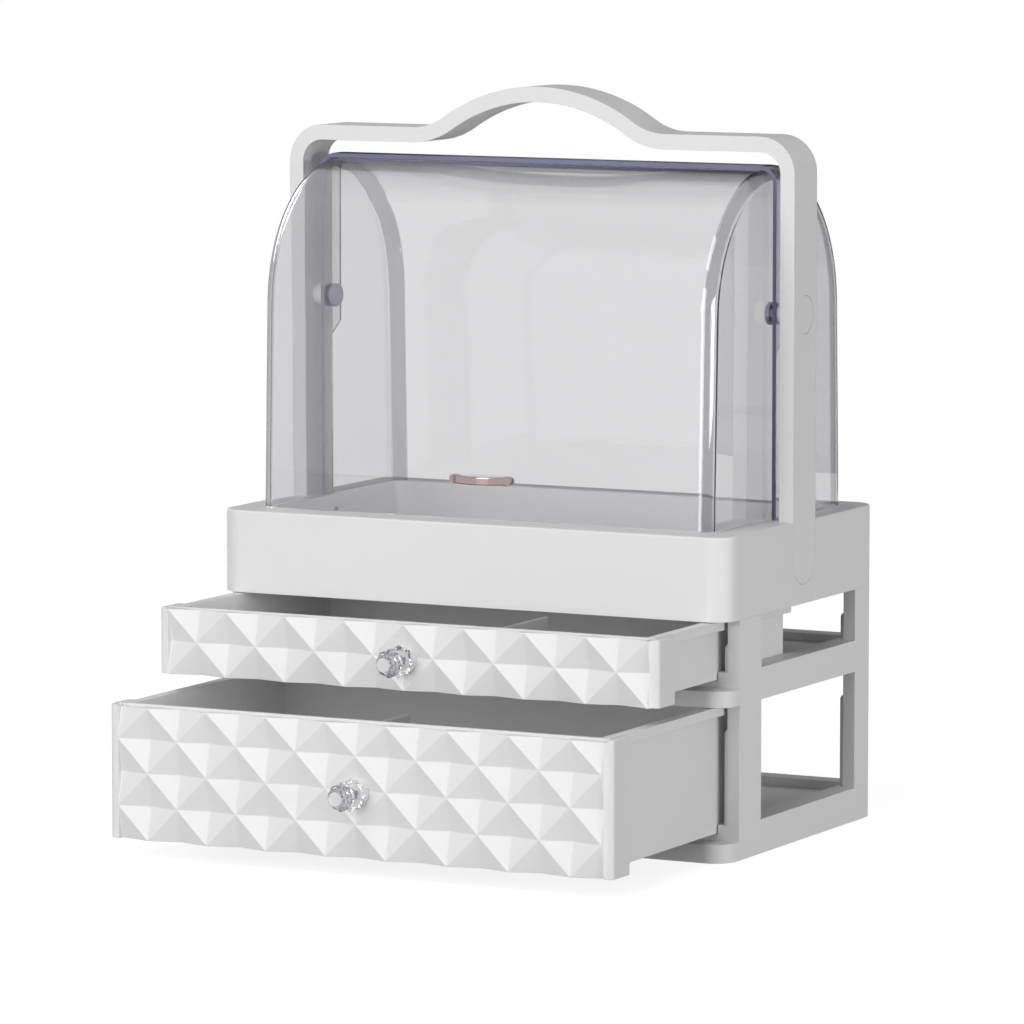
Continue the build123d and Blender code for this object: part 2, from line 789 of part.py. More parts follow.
def facet_teeth(height_centre, face, slope, rows, cell_height):
    """A saw-toothed slab across one diagonal of the cells; two of them make the facets."""
    diagonal = math.hypot(cell_width, cell_height)
    pitch = cell_width * cell_height / diagonal
    across = (cell_height / diagonal, 0, slope * cell_width / diagonal)
    along = (slope * cell_width / diagonal, 0, -cell_height / diagonal)
    plane = Plane((0, face, height_centre), x_dir=across, z_dir=along)
    count = (columns + rows) // 2 + 2
    count += count % 2
    teeth = [
        (step * pitch, ridge_out if step % 2 else -valley_in) for step in range(-count, count + 1)
    ]
    with BuildPart() as slab:
        with BuildSketch(plane):
            with BuildLine():
                Polyline(
                    *teeth,
                    (count * pitch, -panel_skin),
                    (-count * pitch, -panel_skin),
                    close=True,
                )
            make_face()
        extrude(amount=(columns + rows) * diagonal / 2, both=True)
    return slab.part


def drawer_front(face, bottom, height, rows, floor_rise):
    """A drawer's decorative front: facets from top to bottom, plain ends and side returns behind."""
    middle = bottom + height / 2
    knob_middle = middle - knob_drop
    slabs = [facet_teeth(middle, face, slope, rows, height / rows) for slope in (1, -1)]
    with BuildPart() as field:
        add(slabs)
        with BuildSketch(Plane.XZ.offset(-face - panel_skin)):
            with Locations((0, middle)):
                Rectangle(columns * cell_width, height)
        extrude(amount=panel_skin + ridge_out, mode=Mode.INTERSECT)
    with BuildPart() as panel:
        with BuildSketch(Plane.XZ.offset(-face)):
            with Locations((0, bottom)):
                Rectangle(panel_width, height, align=(Align.CENTER, Align.MIN))
        extrude(amount=-panel_depth)
        fillet(panel.edges().filter_by(Axis.Z).group_by(Axis.Y)[0], panel_edge_radius)
        with BuildSketch(Plane.XZ.offset(-face - panel_skin)):
            with Locations((0, bottom + floor_rise - seat_gap)):
                Rectangle(
                    panel_width - 2 * return_thickness, height, align=(Align.CENTER, Align.MIN)
                )
        extrude(amount=-panel_depth, mode=Mode.SUBTRACT)
        with BuildSketch(Plane.XZ.offset(-face)):
            with Locations((0, middle)):
                Rectangle(columns * cell_width, height)
        extrude(amount=-panel_skin, mode=Mode.SUBTRACT)
        add(field.part)
        with BuildSketch(Plane.XZ.offset(-face - panel_skin)):
            with Locations((0, knob_middle)):
                Circle(knob_seat_diameter / 2)
        extrude(amount=panel_skin + ridge_out)
        with BuildSketch(Plane.XZ.offset(-face - panel_skin)):
            with Locations((0, knob_middle)):
                Circle(hole_radius())
        extrude(amount=2 * panel_skin, mode=Mode.SUBTRACT)
        with BuildSketch(Plane.XZ.offset(-face - panel_skin)):
            with Locations((front_screw_x, middle), (-front_screw_x, middle)):
                Circle(hole_radius())
        extrude(amount=front_screw_length - box_wall, mode=Mode.SUBTRACT)
    return panel


def drawer_box(face, bottom, top, middle):
    """A drawer's box: an open tray with a turned-down rim along its sides and back."""
    box_front = face + panel_skin + seat_gap
    with BuildPart() as box:
        with BuildSketch(Plane.XY.offset(bottom)):
            with Locations((0, box_front)):
                Rectangle(2 * box_half_width, box_length, align=(Align.CENTER, Align.MIN))
        extrude(amount=top - bottom)
        fillet(box.edges().filter_by(Axis.Z), box_corner_radius)
        with BuildSketch(Plane.XY.offset(top - box_flange_height)):
            with Locations((0, box_front)):
                Rectangle(2 * flange_half_width, box_length, align=(Align.CENTER, Align.MIN))
        extrude(amount=box_flange_height)
        with BuildSketch(Plane.XY.offset(top - box_flange_height)):
            with Locations((0, box_front)):
                Rectangle(
                    2 * (flange_half_width - box_flange_lip),
                    box_length,
                    align=(Align.CENTER, Align.MIN),
                )
                Rectangle(
                    2 * box_half_width,
                    box_length,
                    align=(Align.CENTER, Align.MIN),
                    mode=Mode.SUBTRACT,
                )
        extrude(amount=box_flange_height - box_flange_lip, mode=Mode.SUBTRACT)
        with BuildSketch(Plane.XY.offset(bottom + box_wall)):
            with Locations((0, box_front + box_wall)):
                Rectangle(
                    2 * (box_half_width - box_wall),
                    box_length - 2 * box_wall,
                    align=(Align.CENTER, Align.MIN),
                )
        extrude(amount=top - bottom, mode=Mode.SUBTRACT)
        with BuildSketch(Plane.XY.offset(bottom)):
            with Locations((0, box_front + box_length - nub_setback)):
                Rectangle(nub_width, nub_length, align=(Align.CENTER, Align.MAX))
        extrude(amount=-floor_thickness + seat_gap)
        with BuildSketch(Plane.XZ.offset(-box_front)):
            with Locations(
                (0, middle - knob_drop), (front_screw_x, middle), (-front_screw_x, middle)
            ):
                Circle(hole_radius())
        extrude(amount=-box_wall, mode=Mode.SUBTRACT)
    return box


def drawer_knob(face, middle):
    """A clear cut knob: a foot, a flower of petals, a neck and a faceted head with a flat table."""
    start = -(face - ridge_out - groove_gap)
    foot_end = start + knob_foot_length
    base_end = foot_end + knob_base_length
    neck_end = base_end + knob_neck_length
    girdle = neck_end + knob_girdle_rise
    outline = [
        (start, knob_foot_diameter),
        (foot_end, knob_foot_diameter),
        (foot_end + knob_base_rise, knob_base_diameter),
        (base_end, knob_neck_diameter),
        (neck_end, knob_neck_diameter),
        (girdle, knob_head_diameter),
        (girdle + knob_girdle_width, knob_head_diameter),
        (neck_end + knob_head_length, knob_table_diameter),
    ]
    corners = [
        (math.pi * step / knob_petals, (1 - knob_notch * (step % 2)) / 2)
        for step in range(2 * knob_petals)
    ]
    with BuildPart() as knob:
        for offset, diameter in outline:
            star = [
                (diameter * reach * math.cos(turn), diameter * reach * math.sin(turn))
                for turn, reach in corners
            ]
            with BuildSketch(Plane.XZ.offset(offset)):
                with Locations((0, middle)):
                    Polygon(*star, align=None)
        loft(ruled=True)
        with BuildSketch(Plane.XZ.offset(start)):
            with Locations((0, middle)):
                Circle(hole_radius())
        extrude(amount=knob_screw_length - box_wall - panel_skin, mode=Mode.SUBTRACT)
    return knob


# Drawers: each a box with its faceted front, a divider, a knob and their screws
drawers = (
    ("upper", upper_face, upper_panel_bottom, upper_panel_height, upper_rows, shelf_floor,
     upper_divider_x, upper_divider_length),
    ("lower", lower_face, lower_panel_bottom, lower_panel_height, lower_rows, base_floor,
     lower_divider_x, lower_divider_length),
)
for name, face, bottom, height, rows, floor, divider_x, divider_length in drawers:
    middle = bottom + height / 2
    box_bottom = floor + seat_gap
    box_top = bottom + height
    box_front = face + panel_skin + seat_gap
    inside_front = box_front + box_wall

    export(drawer_front(face, bottom, height, rows, box_bottom - bottom), f"{name}_drawer_front")
    export(drawer_box(face, box_bottom, box_top, middle), f"{name}_drawer_box")
    export(drawer_knob(face, middle - knob_drop), f"{name}_knob")

    with BuildPart() as divider:
        with BuildSketch(Plane.XY.offset(box_bottom + box_wall + groove_gap)):
            with Locations((divider_x, inside_front + groove_gap)):
                Rectangle(divider_thickness, divider_length, align=(Align.CENTER, Align.MIN))
        extrude(amount=box_top - divider_drop - box_bottom - box_wall)
        top_edges = divider.faces().sort_by(Axis.Z)[-1].edges().filter_by(Axis.Y)
        fillet(top_edges, divider_edge_radius)
    export(divider, f"{name}_drawer_divider")

    knob_screw = screw(
        Plane((0, inside_front + groove_gap, middle - knob_drop), z_dir=(0, 1, 0)),
        knob_screw_length,
    )
    with BuildPart() as screws:
        add(knob_screw)
    export(screws, f"{name}_knob_screw")

    front_screws = [
        screw(
            Plane((side * front_screw_x, inside_front + groove_gap, middle), z_dir=(0, 1, 0)),
            front_screw_length - 2 * seat_gap,
        )
        for side in (-1, 1)
    ]
    with BuildPart() as screws:
        add(front_screws)
    export(screws, f"{name}_front_screws")
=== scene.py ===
# %% [markdown]
# A countertop organizer for cosmetics: an open white frame with two faceted drawers, a deep tray
# under clear covers, and a white carrying handle. The solid parts come from the CAD frame. This
# script gives them their finish, remakes the parts whose shape follows a rule, and then sets up
# the light and the camera. It works in metres.

import json
import math

import bmesh
import bpy
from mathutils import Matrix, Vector


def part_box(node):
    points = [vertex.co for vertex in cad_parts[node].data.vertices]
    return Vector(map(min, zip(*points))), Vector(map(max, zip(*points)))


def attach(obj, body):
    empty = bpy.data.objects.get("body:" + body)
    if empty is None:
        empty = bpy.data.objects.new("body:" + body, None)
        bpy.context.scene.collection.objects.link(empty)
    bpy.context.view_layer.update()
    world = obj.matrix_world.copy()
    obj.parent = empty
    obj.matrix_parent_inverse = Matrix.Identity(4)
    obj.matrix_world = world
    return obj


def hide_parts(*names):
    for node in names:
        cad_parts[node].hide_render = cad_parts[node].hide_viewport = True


MM = 0.001
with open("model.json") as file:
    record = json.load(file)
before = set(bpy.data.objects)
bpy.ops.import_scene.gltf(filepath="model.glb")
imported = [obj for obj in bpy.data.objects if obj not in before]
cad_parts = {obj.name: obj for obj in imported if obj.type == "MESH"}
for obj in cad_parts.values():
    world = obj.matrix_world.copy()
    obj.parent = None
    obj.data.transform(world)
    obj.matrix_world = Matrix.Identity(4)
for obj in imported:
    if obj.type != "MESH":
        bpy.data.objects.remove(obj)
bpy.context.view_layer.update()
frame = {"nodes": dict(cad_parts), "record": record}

# %% [markdown]
# ## Colours and nodes
# Colours are written as sRGB hex values, as a designer would read them off a swatch, and one
# function turns them into the linear numbers that Blender works with. Node trees get long, so one
# small function adds a node, sets it and links it in a single call.


# %% Colour and node helpers
def linear(swatch):
    """An sRGB hex colour as a linear RGBA tuple."""
    values = [int(swatch[i : i + 2], 16) / 255 for i in (1, 3, 5)]
    light = [v / 12.92 if v <= 0.04045 else ((v + 0.055) / 1.055) ** 2.4 for v in values]
    return (*light, 1.0)


def add(tree, kind, settings=None, inputs=None):
    """Add a node. Settings are its properties, and inputs are its sockets' values or links.

    A link is written as the socket that it comes from, or as a node, whose first output is meant.
    """
    node = tree.nodes.new(kind)
    for name, value in (settings or {}).items():
        setattr(node, name, value)
    for name, value in (inputs or {}).items():
        if isinstance(value, bpy.types.Node):
            value = value.outputs[0]
        if isinstance(value, bpy.types.NodeSocket):
            tree.links.new(value, node.inputs[name])
        else:
            node.inputs[name].default_value = value
    return node


def new_material(name):
    """An empty node material and its tree."""
    material = bpy.data.materials.new(name)
    material.use_nodes = True
    material.node_tree.nodes.clear()
    return material, material.node_tree


print("white is", linear("#FFFFFF"))

# %% [markdown]
# ## White body
# The body is injection-moulded ABS, coloured white all through. Its mould is finely blasted, so the
# surface has a soft satin gloss, but a moulded wall is never quite even: a shallow ripple some
# 12 mm long makes its reflections swim a little. The ripple is about a hundredth of a millimetre
# deep. Every moulded edge has a small radius that catches the light, so the Bevel node rounds the
# shading at the edges, which the solids leave sharp. The fronts get real bevels further down, so
# they wear the same plastic without that node, in a touch lighter white that is painted light on
# the facets. The small dividers in the drawers are white ABS too, but they get a grey that is
# painted shade, so they look a good deal greyer than the walls beside them.

# %% White ABS
ripple_length = 12 * MM
ripple_depth = 0.1 * MM
ripple_strength = 0.12
abs_ior = 1.53


def moulded_abs(name, swatch, roughness, edge_radius):
    """Moulded ABS, with its edges shaded round by this radius unless that is nought."""
    material, tree = new_material(name)
    place = add(tree, "ShaderNodeTexCoord").outputs["Object"]
    ripple = add(
        tree,
        "ShaderNodeTexNoise",
        inputs={"Vector": place, "Scale": 1 / ripple_length, "Detail": 1.0},
    )
    bump = add(
        tree,
        "ShaderNodeBump",
        inputs={"Height": ripple, "Strength": ripple_strength, "Distance": ripple_depth},
    )
    if edge_radius:
        edge = add(tree, "ShaderNodeBevel", {"samples": 4}, {"Radius": edge_radius})
        tree.links.new(edge.outputs["Normal"], bump.inputs["Normal"])
    surface = add(
        tree,
        "ShaderNodeBsdfPrincipled",
        inputs={
            "Base Color": linear(swatch),
            "Roughness": roughness,
            "IOR": abs_ior,
            "Normal": bump,
        },
    )
    add(tree, "ShaderNodeOutputMaterial", inputs={"Surface": surface})
    return material


body_abs = moulded_abs("white_abs_moulded", "#E4E4E4", 0.5, 0.4 * MM)
# The fronts' white is a touch lighter than the body's: painted light that lifts the facets
front_abs_painted_light = moulded_abs("white_abs_faceted_painted_light", "#E8E8E8", 0.46, 0.0)
# The dividers are white ABS, greyed here as painted shade for the shade they stand in
divider_abs_painted_shade = moulded_abs("white_abs_divider_painted_shade", "#9C9C9C", 0.55, 0.2 * MM)
print("made", body_abs.name, front_abs_painted_light.name, divider_abs_painted_shade.name)

# %% [markdown]
# ## Clear covers and knobs
# The covers are moulded from clear polystyrene with a faint grey cast. A wall seen square on takes
# little light, while one looks along the wall at the rounded sides, and there it goes dark and
# violet. Layer Weight knows how steeply a surface is seen, and mixes the two tints. Absorption in
# the volume would be the other way, but one shell then can't wear two materials, because a ray that
# goes in by one and out by the other keeps absorbing. The fillets between a cover's round wall and
# its sides bend the light most and look darkest, so they get a darker tint, which is painted shade.
# The knobs are acrylic, which is clearer and bends the light less, and the slanting crown of their
# heads gets a greyer tint, which is painted shade too.
# Light from the lamps passes straight through, which the shadow-ray mix does, because Cycles would
# otherwise make the covers cast a solid shadow.

# %% Clear mouldings
polystyrene_ior = 1.57
acrylic_ior = 1.49
# Layer Weight's Facing is 0 square on and 1 along the wall, and the tint starts to turn here
slant_start = 0.35
shadow_tint = "#D0D0D2"


def clear_moulding(name, ior, square_on, at_slant, full_slant):
    """A clear plastic with one tint seen square on, and another from the full slant up."""
    material, tree = new_material(name)
    slant = add(tree, "ShaderNodeLayerWeight", inputs={"Blend": 0.5}).outputs["Facing"]
    along_wall = add(
        tree,
        "ShaderNodeMapRange",
        inputs={"Value": slant, "From Min": slant_start, "From Max": full_slant},
    )
    # A Mix node has sockets for each kind of value: 6 and 7 are its colours, and 2 is their mix
    seen = add(
        tree,
        "ShaderNodeMix",
        {"data_type": "RGBA"},
        {0: along_wall, 6: linear(square_on), 7: linear(at_slant)},
    )
    surface = add(
        tree,
        "ShaderNodeBsdfPrincipled",
        inputs={
            "Base Color": seen.outputs[2],
            "Roughness": 0.0,
            "IOR": ior,
            "Transmission Weight": 1.0,
        },
    )
    for_shadows = add(tree, "ShaderNodeLightPath").outputs["Is Shadow Ray"]
    through = add(tree, "ShaderNodeBsdfTransparent", inputs={"Color": linear(shadow_tint)})
    mixed = add(tree, "ShaderNodeMixShader", inputs={0: for_shadows, 1: surface, 2: through})
    add(tree, "ShaderNodeOutputMaterial", inputs={"Surface": mixed})
    return material


cover_plastic = clear_moulding(
    "clear_polystyrene_moulded", polystyrene_ior, "#ECECED", "#3A3942", 1.0
)
# The fillets' darker tint is painted shade, for the light that they bend away
cover_fillet_painted_shade = clear_moulding(
    "clear_polystyrene_fillet_painted_shade", polystyrene_ior, "#B2B2B7", "#100F18", 0.8
)
knob_acrylic = clear_moulding("clear_acrylic_cut", acrylic_ior, "#FFFFFF", "#A0A0A4", 1.0)
# The crown's greyer tint is painted shade, where the cut facets look darker
crown_acrylic_painted_shade = clear_moulding("clear_acrylic_crown_painted_shade", acrylic_ior, "#9A9A9E", "#7E7E84", 1.0)
print("made", cover_plastic.name, cover_fillet_painted_shade.name, knob_acrylic.name, crown_acrylic_painted_shade.name)

# %% [markdown]
# The rim round a cover's mouth is where its mould parts, and it is left satin. Its violet is
# painted
# light: it stands in for the light that has travelled a long way inside the wall and comes out
# there.
# The two studs that the front cover turns on are satin too, and paler. So is the flat table at the
# front of a knob's head, and its pale colour is painted light too: it stands in for the light that
# the facets behind it have gathered and send back through it.

# %% Satin clear plastics
satin_ior = 1.5


def satin_clear(name, swatch, roughness, clearness):
    """A clear plastic with a satin surface, of which a share, 0 to 1, lets light through."""
    material, tree = new_material(name)
    surface = add(
        tree,
        "ShaderNodeBsdfPrincipled",
        inputs={
            "Base Color": linear(swatch),
            "Roughness": roughness,
            "IOR": satin_ior,
            "Transmission Weight": clearness,
        },
    )
    add(tree, "ShaderNodeOutputMaterial", inputs={"Surface": surface})
    return material


# The rim's violet is painted light, for the light carried along inside the wall
cover_rim_painted_light = satin_clear("polystyrene_satin_rim_painted_light", "#78749C", 0.45, 0.15)
stud_plastic = satin_clear("polystyrene_satin_stud", "#C6C4DA", 0.3, 0.3)
# The table's pale satin is painted light, for the light that the facets gather
knob_table_painted_light = satin_clear("acrylic_satin_table_painted_light", "#ECECEE", 0.3, 0.5)
print("made", cover_rim_painted_light.name, stud_plastic.name, knob_table_painted_light.name)

# %% [markdown]
# ## Metal
# The pull on the cover is plastic with a bright rose-tinted chrome plating, and the screws are
# zinc-plated steel, duller and a little rough from the bath. Plating is never quite even, so the
# gloss varies a little. Its real grain is too fine to show, so it is drawn 1.5 mm long.

# %% Plating
grain_length = 1.5 * MM
gloss_spread = 0.2


def plated(name, swatch, roughness):
    """A metal plating whose roughness varies a little about this value."""
    material, tree = new_material(name)
    place = add(tree, "ShaderNodeTexCoord").outputs["Object"]
    grain = add(
        tree,
        "ShaderNodeTexNoise",
        inputs={"Vector": place, "Scale": 1 / grain_length, "Detail": 2.0},
    )
    uneven = add(
        tree,
        "ShaderNodeMapRange",
        inputs={
            "Value": grain,
            "To Min": roughness * (1 - gloss_spread),
            "To Max": roughness * (1 + gloss_spread),
        },
    )
    surface = add(
        tree,
        "ShaderNodeBsdfPrincipled",
        inputs={"Base Color": linear(swatch), "Metallic": 1.0, "Roughness": uneven},
    )
    add(tree, "ShaderNodeOutputMaterial", inputs={"Surface": surface})
    return material


pull_plating = plated("rose_chrome_plated", "#A99795", 0.08)
screw_zinc = plated("zinc_plated_steel", "#A9ABAF", 0.32)
print("made", pull_plating.name, screw_zinc.name)

# %% [markdown]
# ## Finishes of the solid parts
# The record of the part says which kind of material each solid has, and each kind gets its finish
# here. A few pieces differ from the rest of their kind: the studs of the covers' pivots, and the
# dividers in the drawers, whose grey is painted shade.

# %% Dress the CAD nodes
finishes = {
    "white_plastic": body_abs,
    "clear_plastic": cover_plastic,
    "clear_acrylic": knob_acrylic,
    "chrome_trim": pull_plating,
    "screw_steel": screw_zinc,
}
for part in frame["record"]["subparts"]:
    node = frame["nodes"][part["node"]]
    node.data.materials.clear()
    node.data.materials.append(finishes[part["material_slot"]])
for side in ("left", "right"):
    frame["nodes"][f"{side}_pivot_stud"].data.materials[0] = stud_plastic
# The dividers wear white ABS greyed as painted shade
for name in ("upper", "lower"):
    frame["nodes"][f"{name}_drawer_divider"].data.materials[0] = divider_abs_painted_shade

# %% [markdown]
# ## Growing pieces with Geometry Nodes
# A shape that follows a rule is best written as that rule. A geometry tree takes its sizes as named
# inputs, and the next functions make such a tree's inputs, end it and run it. The result is kept as
# a plain mesh, because an export can't carry the tree.

# %% Tree helpers
SOCKETS = {
    int: "NodeSocketInt",
    float: "NodeSocketFloat",
    Vector: "NodeSocketVector",
    bpy.types.Material: "NodeSocketMaterial",
}


def new_tree(name, kinds):
    """A geometry tree with a named input for each kind of value, and those inputs' sockets."""
    tree = bpy.data.node_groups.new(name, "GeometryNodeTree")
    for title, kind in kinds.items():
        tree.interface.new_socket(title, in_out="INPUT", socket_type=SOCKETS[kind])
    tree.interface.new_socket("Geometry", in_out="OUTPUT", socket_type="NodeSocketGeometry")
    return tree, add(tree, "NodeGroupInput").outputs


def close_tree(tree, geometry, finish):
    """End a tree with real geometry that wears its finish."""
    real = add(tree, "GeometryNodeRealizeInstances", inputs={"Geometry": geometry})
    dressed = add(
        tree, "GeometryNodeSetMaterial", inputs={"Geometry": real, "Material": finish}
    )
    add(tree, "NodeGroupOutput", inputs={"Geometry": dressed})
    print(tree.name, "has", len(tree.nodes), "nodes")


def grow(tree, name, sizes):
    """Run a tree with these sizes and keep what it makes as a plain mesh object."""
    piece = bpy.data.objects.new(name, bpy.data.meshes.new(name))
    bpy.context.scene.collection.objects.link(piece)
    modifier = piece.modifiers.new("tree", "NODES")
    modifier.node_group = tree
    for socket in tree.interface.items_tree:
        if socket.in_out == "INPUT":
            modifier[socket.identifier] = sizes[socket.name]
    grown = piece.evaluated_get(bpy.context.evaluated_depsgraph_get())
    piece.data = bpy.data.meshes.new_from_object(grown)
    piece.modifiers.clear()
    print("grew", name, "with", len(piece.data.polygons), "faces")
    return piece


# %% [markdown]
# ## Faceted drawer fronts
# The fronts are covered with hollows shaped like upturned pyramids. They could be modelled one by
# one, but they follow a simple rule: on a grid of points, every other one stands out as a ridge
# point and the rest lie deep, as on a chessboard, and each cell is folded along the line that joins
# its two ridge points. So a tree makes the grid, folds the cells, moves the points, and gives the
# sheet a flat back. A narrow flat border stands on its left and its right.

# %% Inputs of the facet tree
facets, sizes = new_tree(
    "faceted_field",
    {
        "Columns": int,
        "Rows": int,
        "Width": float,
        "Height": float,
        "Ridge": float,
        "Valley": float,
        "Skin": float,
        "Border": float,
        "Trim": float,
        "Centre": Vector,
        "Finish": bpy.types.Material,
    },
)
print("facet tree takes", [socket.name for socket in sizes if socket.name])

# %% [markdown]
# The grid lies flat at first. Two more columns of cells on each side become the border. The points
# are then counted in steps of one cell from the middle, because the rule speaks of cells.

# %% Grid of points
border_columns = 2
cell_across = add(
    facets, "ShaderNodeMath", {"operation": "DIVIDE"}, {0: sizes["Width"], 1: sizes["Columns"]}
)
cell_up = add(
    facets, "ShaderNodeMath", {"operation": "DIVIDE"}, {0: sizes["Height"], 1: sizes["Rows"]}
)
points_across = add(
    facets,
    "ShaderNodeMath",
    {"operation": "ADD"},
    {0: sizes["Columns"], 1: 1.0 + 2 * border_columns},
)
points_up = add(facets, "ShaderNodeMath", {"operation": "ADD"}, {0: sizes["Rows"], 1: 1.0})
spread = add(
    facets,
    "ShaderNodeMath",
    {"operation": "MULTIPLY_ADD"},
    {0: cell_across, 1: 2.0 * border_columns, 2: sizes["Width"]},
)
sheet = add(
    facets,
    "GeometryNodeMeshGrid",
    inputs={
        "Size X": spread,
        "Size Y": sizes["Height"],
        "Vertices X": points_across,
        "Vertices Y": points_up,
    },
)
spot = add(
    facets, "ShaderNodeSeparateXYZ", inputs={0: add(facets, "GeometryNodeInputPosition")}
).outputs
steps_across = add(
    facets, "ShaderNodeMath", {"operation": "DIVIDE"}, {0: spot["X"], 1: cell_across}
)
steps_up = add(facets, "ShaderNodeMath", {"operation": "DIVIDE"}, {0: spot["Y"], 1: cell_up})
print("a border is", border_columns, "columns wide")

# %% [markdown]
# The chessboard comes from adding a point's two step numbers and asking whether the sum is odd. A
# cell is asked in the same way. Its number counts from its lower left point, so the floor of its
# middle gives it. Cells of one colour are folded along one diagonal, and the rest along the other.

# %% Folds along the ridges
chess = {}
for whole in ("FLOOR", "ROUND"):
    across = add(facets, "ShaderNodeMath", {"operation": whole}, {0: steps_across})
    up = add(facets, "ShaderNodeMath", {"operation": whole}, {0: steps_up})
    both = add(facets, "ShaderNodeMath", {"operation": "ADD"}, {0: across, 1: up})
    chess[whole] = add(
        facets, "ShaderNodeMath", {"operation": "FLOORED_MODULO"}, {0: both, 1: 2.0}
    )
folded_one_way = add(
    facets,
    "GeometryNodeTriangulate",
    {"quad_method": "FIXED"},
    {"Mesh": sheet.outputs["Mesh"], "Selection": chess["FLOOR"]},
)
folded = add(
    facets,
    "GeometryNodeTriangulate",
    {"quad_method": "FIXED_ALTERNATE"},
    {"Mesh": folded_one_way},
)
print("cells and points are told apart by", list(chess))

# %% [markdown]
# Across the front, the points of the facets keep their places, and those of the border are drawn in
# to its width. Of its two columns the first stands close to the facets, at a quarter of the width,
# so that the facets end in a nearly straight line. The square of the steps beyond the facets gives
# both places.

# %% Places across the front
half_columns = add(
    facets, "ShaderNodeMath", {"operation": "MULTIPLY"}, {0: sizes["Columns"], 1: 0.5}
)
minus_half = add(
    facets, "ShaderNodeMath", {"operation": "MULTIPLY"}, {0: sizes["Columns"], 1: -0.5}
)
in_field = add(
    facets,
    "ShaderNodeClamp",
    inputs={"Value": steps_across, "Min": minus_half, "Max": half_columns},
)
beyond = add(
    facets, "ShaderNodeMath", {"operation": "SUBTRACT"}, {0: steps_across, 1: in_field}
)
far_out = add(facets, "ShaderNodeMath", {"operation": "ABSOLUTE"}, {0: beyond})
squared = add(facets, "ShaderNodeMath", {"operation": "MULTIPLY"}, {0: beyond, 1: far_out})
first_step = add(
    facets,
    "ShaderNodeMath",
    {"operation": "MULTIPLY"},
    {0: sizes["Border"], 1: 1 / border_columns**2},
)
field_x = add(
    facets, "ShaderNodeMath", {"operation": "MULTIPLY"}, {0: in_field, 1: cell_across}
)
sheet_x = add(
    facets,
    "ShaderNodeMath",
    {"operation": "MULTIPLY_ADD"},
    {0: squared, 1: first_step, 2: field_x},
)
print("the border's first column takes", 1 / border_columns**2, "of its width")

# %% [markdown]
# Ridge points stand in front of the face by the size Ridge, the others lie behind it by Valley, and
# the border lies level with it. The front also stops a little below the top of the plain ends.

# %% Ridges, valleys and top edge
inside = add(facets, "ShaderNodeMath", {"operation": "LESS_THAN"}, {0: far_out, 1: 0.5})
swing = add(
    facets, "ShaderNodeMath", {"operation": "ADD"}, {0: sizes["Ridge"], 1: sizes["Valley"]}
)
raised = add(
    facets, "ShaderNodeMath", {"operation": "MULTIPLY"}, {0: swing, 1: chess["ROUND"]}
)
depth = add(
    facets, "ShaderNodeMath", {"operation": "SUBTRACT"}, {0: sizes["Valley"], 1: raised}
)
level = add(facets, "ShaderNodeMath", {"operation": "MULTIPLY"}, {0: depth, 1: inside})
half_height = add(
    facets, "ShaderNodeMath", {"operation": "MULTIPLY"}, {0: sizes["Height"], 1: 0.5}
)
top = add(
    facets, "ShaderNodeMath", {"operation": "SUBTRACT"}, {0: half_height, 1: sizes["Trim"]}
)
sheet_z = add(facets, "ShaderNodeMath", {"operation": "MINIMUM"}, {0: spot["Y"], 1: top})
stand = add(
    facets, "ShaderNodeCombineXYZ", inputs={"X": sheet_x, "Y": level, "Z": sheet_z}
)
front_sheet = add(
    facets, "GeometryNodeSetPosition", inputs={"Geometry": folded, "Position": stand}
)
print("facet tree has", len(facets.nodes), "nodes so far")

# %% [markdown]
# The sheet is still open behind. A copy of it is turned round and pushed back, its far side is
# flattened, and both are sewn together, which closes the shell.

# %% Flat back
push = 10 * MM
sewing_distance = 0.01 * MM
turned = add(facets, "GeometryNodeFlipFaces", inputs={"Mesh": front_sheet})
pushed = add(
    facets,
    "GeometryNodeExtrudeMesh",
    inputs={"Mesh": turned, "Offset": (0.0, 1.0, 0.0), "Offset Scale": push, "Individual": False},
)
back_spot = add(
    facets, "ShaderNodeSeparateXYZ", inputs={0: add(facets, "GeometryNodeInputPosition")}
).outputs
flat = add(
    facets,
    "ShaderNodeCombineXYZ",
    inputs={"X": back_spot["X"], "Y": sizes["Skin"], "Z": back_spot["Z"]},
)
backed = add(
    facets,
    "GeometryNodeSetPosition",
    inputs={"Geometry": pushed, "Selection": pushed.outputs["Top"], "Position": flat},
)
both_sheets = add(facets, "GeometryNodeJoinGeometry", inputs={0: front_sheet})
facets.links.new(backed.outputs[0], both_sheets.inputs[0])
sewn = add(
    facets,
    "GeometryNodeMergeByDistance",
    inputs={"Geometry": both_sheets, "Distance": sewing_distance},
)
placed = add(
    facets, "GeometryNodeTransform", inputs={"Geometry": sewn, "Translation": sizes["Centre"]}
)
close_tree(facets, placed, sizes["Finish"])

# %% [markdown]
# The field of facets stands between two plain ends that turn back along the drawer's sides, and a
# ledge under the drawer joins them. These are straight bars, so each is drawn as an outline and
# raised. A round seat in the middle carries the knob.


# %% Bars with a given outline
def raise_outline(mesh, outline, low, high):
    """Add a closed bar to a mesh: an outline in X and Y, counter-clockwise, from low to high."""
    foot = [mesh.verts.new((x, y, low)) for x, y in outline]
    head = [mesh.verts.new((x, y, high)) for x, y in outline]
    mesh.faces.new(foot[::-1])
    mesh.faces.new(head)
    for i, j in zip(range(len(outline)), [*range(1, len(outline)), 0]):
        mesh.faces.new((foot[i], foot[j], head[j], head[i]))


